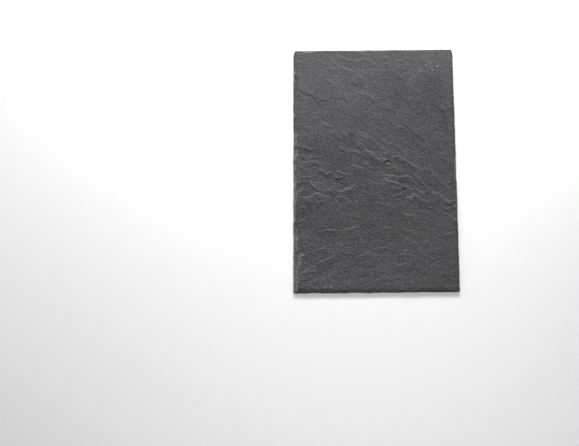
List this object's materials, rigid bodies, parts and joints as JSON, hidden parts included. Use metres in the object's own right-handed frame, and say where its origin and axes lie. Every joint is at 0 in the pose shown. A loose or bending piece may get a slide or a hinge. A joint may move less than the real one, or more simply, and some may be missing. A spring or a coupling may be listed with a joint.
{
  "type": "slate roof tile",
  "caption": "Rectangular split-slate roofing unit with a riven face, chipped dressed edges and a flat bed, laid lapped over the courses below.",
  "frame": {"origin": "middle of the slate's bed, on the level floor that it lies on", "axes": "+X along the head to the right, +Y up the roof from tail to head, +Z out of the riven face"},
  "size_m": [0.206, 0.3014, 0.007],
  "materials": {
    "riven_slate": "split natural slate, dark neutral grey, matt with a faint sheen; paler where the edges are chipped"
  },
  "bodies": {
    "root": {"slate": "riven_slate"}
  },
  "joints": []
}
